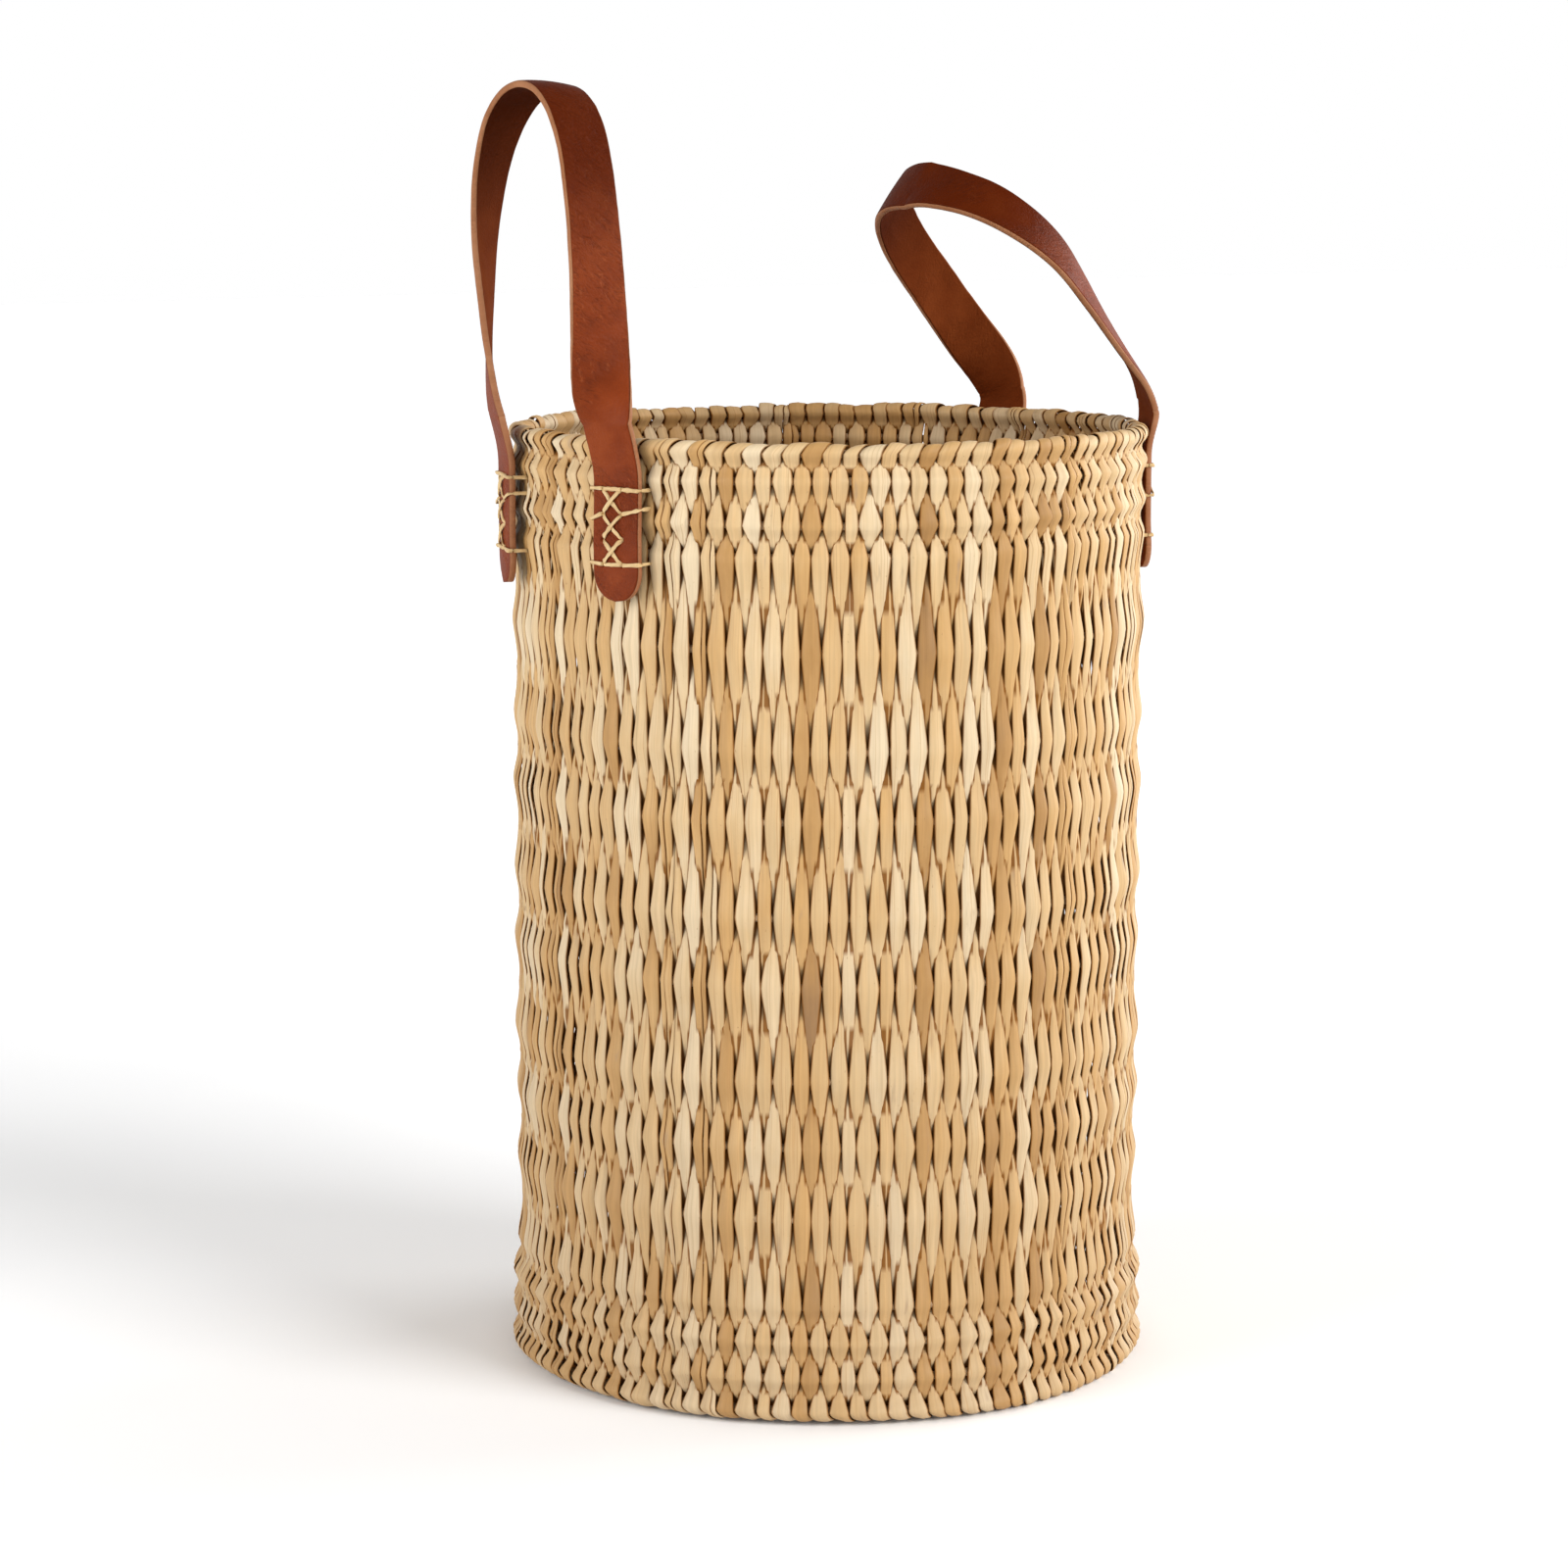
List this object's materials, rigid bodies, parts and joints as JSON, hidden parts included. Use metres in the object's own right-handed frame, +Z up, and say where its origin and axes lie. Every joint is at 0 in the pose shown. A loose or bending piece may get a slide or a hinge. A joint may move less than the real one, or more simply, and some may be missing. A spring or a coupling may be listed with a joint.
{
  "type": "woven storage basket",
  "caption": "Tall round open basket woven from palm leaf strands over hidden hoops, with two sewn-on leather strap handles that flop about the rim.",
  "frame": {"origin": "centre of the underside, on the surface the basket stands on", "axes": "+Z up the basket's axis, the two handles on the -X and +X sides"},
  "size_m": [0.321, 0.3016, 0.6041],
  "materials": {
    "palm_leaf": "dry, split palm leaf with a faint satin face",
    "reed": "bare bent reed",
    "leather": "waxed full-grain leather, matte flesh side",
    "raffia": "dry twisted raffia thread"
  },
  "bodies": {
    "basket": {"rim_hoop": "reed", "upper_border_hoop_01": "reed", "upper_border_hoop_02": "reed", "wall_hoop_01": "reed", "wall_hoop_02": "reed", "wall_hoop_03": "reed", "wall_hoop_04": "reed", "wall_hoop_05": "reed", "wall_hoop_06": "reed", "wall_hoop_07": "reed", "wall_hoop_08": "reed", "wall_hoop_09": "reed", "wall_hoop_10": "reed", "lower_border_hoop_01": "reed", "lower_border_hoop_02": "reed", "bottom_hoop": "reed", "base_edge_hoop": "reed", "wall_strands_01": "palm_leaf", "wall_strands_02": "palm_leaf", "wall_strands_03": "palm_leaf", "wall_strands_04": "palm_leaf", "wall_strands_05": "palm_leaf", "wall_strands_06": "palm_leaf", "wall_strands_07": "palm_leaf", "wall_strands_08": "palm_leaf", "wall_strands_09": "palm_leaf", "wall_strands_10": "palm_leaf", "wall_strands_11": "palm_leaf", "wall_strands_12": "palm_leaf", "base_rods": "reed", "base_strands": "palm_leaf", "base_lacing": "palm_leaf", "left_front_tab": "leather", "left_back_tab": "leather", "right_front_tab": "leather", "right_back_tab": "leather", "left_front_stitches": "raffia", "left_back_stitches": "raffia", "right_front_stitches": "raffia", "right_back_stitches": "raffia"},
    "left_handle": {"left_handle_loop": "leather"},
    "right_handle": {"right_handle_loop": "leather"}
  },
  "joints": [
    {"name": "left_handle_flop", "type": "hinge", "parent": "basket", "child": "left_handle", "pos_m": [-0.14776, 0, 0.452], "axis": [0, -1, 0], "range_deg": [-63, 92]},
    {"name": "right_handle_flop", "type": "hinge", "parent": "basket", "child": "right_handle", "pos_m": [0.14413, 0, 0.452], "axis": [0, 1, 0], "range_deg": [-20, 135]}
  ]
}
